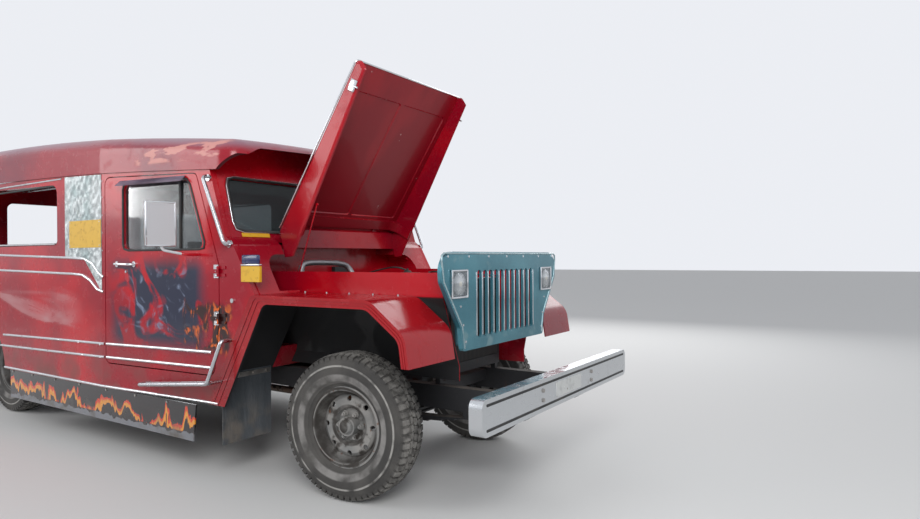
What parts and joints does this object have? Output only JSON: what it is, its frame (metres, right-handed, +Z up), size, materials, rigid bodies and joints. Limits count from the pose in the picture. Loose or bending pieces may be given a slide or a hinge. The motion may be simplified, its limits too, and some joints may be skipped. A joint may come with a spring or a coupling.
{
  "type": "jeepney",
  "caption": "Full-size jeepney with an open hood, hinged doors, steered front wheels, an open passenger body and a rear entrance.",
  "frame": {"origin": "on the ground under the middle of the vehicle", "axes": "+X forwards, +Y to the vehicle's left, +Z up"},
  "size_m": [6.2, 2.4708, 2.4683],
  "materials": {
    "red_paint": "gloss deep red paint",
    "black_paint": "satin black chassis paint",
    "engine_iron": "rough casting",
    "exhaust_steel": "heat-stained steel",
    "floor_paint": "worn dark grey floor paint",
    "clear_glass": "tinted glass",
    "stainless": "polished stainless sheet",
    "step_steel": "chequered steel",
    "seat_vinyl": "dark red seat vinyl",
    "dash_plastic": "satin black",
    "teal_paint": "metallic teal blue",
    "lamp_chrome": "bright chrome",
    "bumper_chrome": "bright chrome",
    "skirt_paint": "gloss black with painted flames",
    "flap_rubber": "grey rubber sheet",
    "tyre_rubber": "dusty tyre rubber",
    "wheel_steel": "dusty grey wheel paint"
  },
  "bodies": {
    "root": {"chassis_frame": "black_paint", "front_axle": "black_paint", "rear_axle": "black_paint", "leaf_springs": "black_paint", "engine_block": "engine_iron", "radiator": "black_paint", "drive_shaft": "black_paint", "fuel_tank": "black_paint", "exhaust": "exhaust_steel", "cabin_floor": "floor_paint", "cowl": "red_paint", "windscreen_frame": "red_paint", "windscreen_glass": "clear_glass", "roof": "red_paint", "cab_side_right": "red_paint", "cab_side_left": "red_paint", "body_side_right": "red_paint", "body_side_left": "red_paint", "stainless_panels": "stainless", "rear_frame": "red_paint", "rear_step": "step_steel", "seat_bases": "red_paint", "seat_cushions": "seat_vinyl", "dashboard": "dash_plastic", "fender_right": "red_paint", "fender_left": "red_paint", "inner_fenders": "red_paint", "grille_shell": "teal_paint", "headlamps": "lamp_chrome", "front_bumper": "bumper_chrome", "side_skirts": "skirt_paint", "step_guards": "bumper_chrome", "mud_flaps": "flap_rubber", "grab_handles": "bumper_chrome"},
    "hood": {"hood": "red_paint"},
    "hood_prop": {"hood_prop": "red_paint"},
    "door_right": {"door_right": "red_paint"},
    "door_left": {"door_left": "red_paint"},
    "knuckle_right": {"knuckle_right": "black_paint"},
    "knuckle_left": {"knuckle_left": "black_paint"},
    "tie_rod": {"tie_rod": "black_paint"},
    "steering_wheel": {"steering_wheel": "dash_plastic"},
    "wheel_front_right": {"tyre_front_right": "tyre_rubber", "rim_front_right": "wheel_steel"},
    "wheel_front_left": {"tyre_front_left": "tyre_rubber", "rim_front_left": "wheel_steel"},
    "wheel_rear_right": {"tyre_rear_right": "tyre_rubber", "rim_rear_right": "wheel_steel"},
    "wheel_rear_left": {"tyre_rear_left": "tyre_rubber", "rim_rear_left": "wheel_steel"}
  },
  "joints": [
    {"name": "hood_hinge", "type": "hinge", "parent": "root", "child": "hood", "pos_m": [1.352, 0, 1.44], "axis": [0, 1, 0], "range_deg": [0, 61.5]},
    {"name": "hood_prop_hinge", "type": "hinge", "parent": "root", "child": "hood_prop", "pos_m": [1.488, -0.506, 1.195], "axis": [0, 1, 0], "range_deg": [0, 70.2]},
    {"name": "door_right_hinge", "type": "hinge", "parent": "root", "child": "door_right", "pos_m": [1.28624, -0.94274, 1.1], "axis": [0, 0, 1], "range_deg": [0, 68]},
    {"name": "door_left_hinge", "type": "hinge", "parent": "root", "child": "door_left", "pos_m": [1.28624, 0.94274, 1.1], "axis": [0, 0, -1], "range_deg": [0, 68]},
    {"name": "steer_left", "type": "hinge", "parent": "root", "child": "knuckle_left", "pos_m": [2.1, 0.56, 0.402], "axis": [0, 0, 1], "range_deg": [-35, 21]},
    {"name": "steer_right", "type": "hinge", "parent": "root", "child": "knuckle_right", "pos_m": [2.1, -0.56, 0.402], "axis": [0, 0, 1], "range_deg": [-35, 21]},
    {"name": "tie_rod_eye", "type": "hinge", "parent": "knuckle_left", "child": "tie_rod", "pos_m": [1.95112, 0.54172, 0.286], "axis": [0, 0, 1], "range_deg": [-21, 35]},
    {"name": "steering_wheel_turn", "type": "hinge", "parent": "root", "child": "steering_wheel", "pos_m": [0.85, 0.43, 1.2], "axis": [-0.7379, 0, 0.6749], "range_deg": [-420, 252]},
    {"name": "wheel_front_left_roll", "type": "hinge", "parent": "knuckle_left", "child": "wheel_front_left", "pos_m": [2.08416, 0.68903, 0.402], "axis": [-0.1219, 0.9925, 0], "continuous": true},
    {"name": "wheel_front_right_roll", "type": "hinge", "parent": "knuckle_right", "child": "wheel_front_right", "pos_m": [2.11584, -0.68903, 0.402], "axis": [-0.1219, 0.9925, 0], "continuous": true},
    {"name": "wheel_rear_left_roll", "type": "hinge", "parent": "root", "child": "wheel_rear_left", "pos_m": [-1.8, 0.69, 0.402], "axis": [0, 1, 0], "continuous": true},
    {"name": "wheel_rear_right_roll", "type": "hinge", "parent": "root", "child": "wheel_rear_right", "pos_m": [-1.8, -0.69, 0.402], "axis": [0, 1, 0], "continuous": true}
  ],
  "couplings": [
    {"joint": "hood_prop_hinge", "follows": "hood_hinge", "ratio": 1.1382},
    {"joint": "steer_right", "follows": "steer_left", "ratio": 1},
    {"joint": "tie_rod_eye", "follows": "steer_left", "ratio": -1},
    {"joint": "steering_wheel_turn", "follows": "steer_left", "ratio": 12}
  ]
}
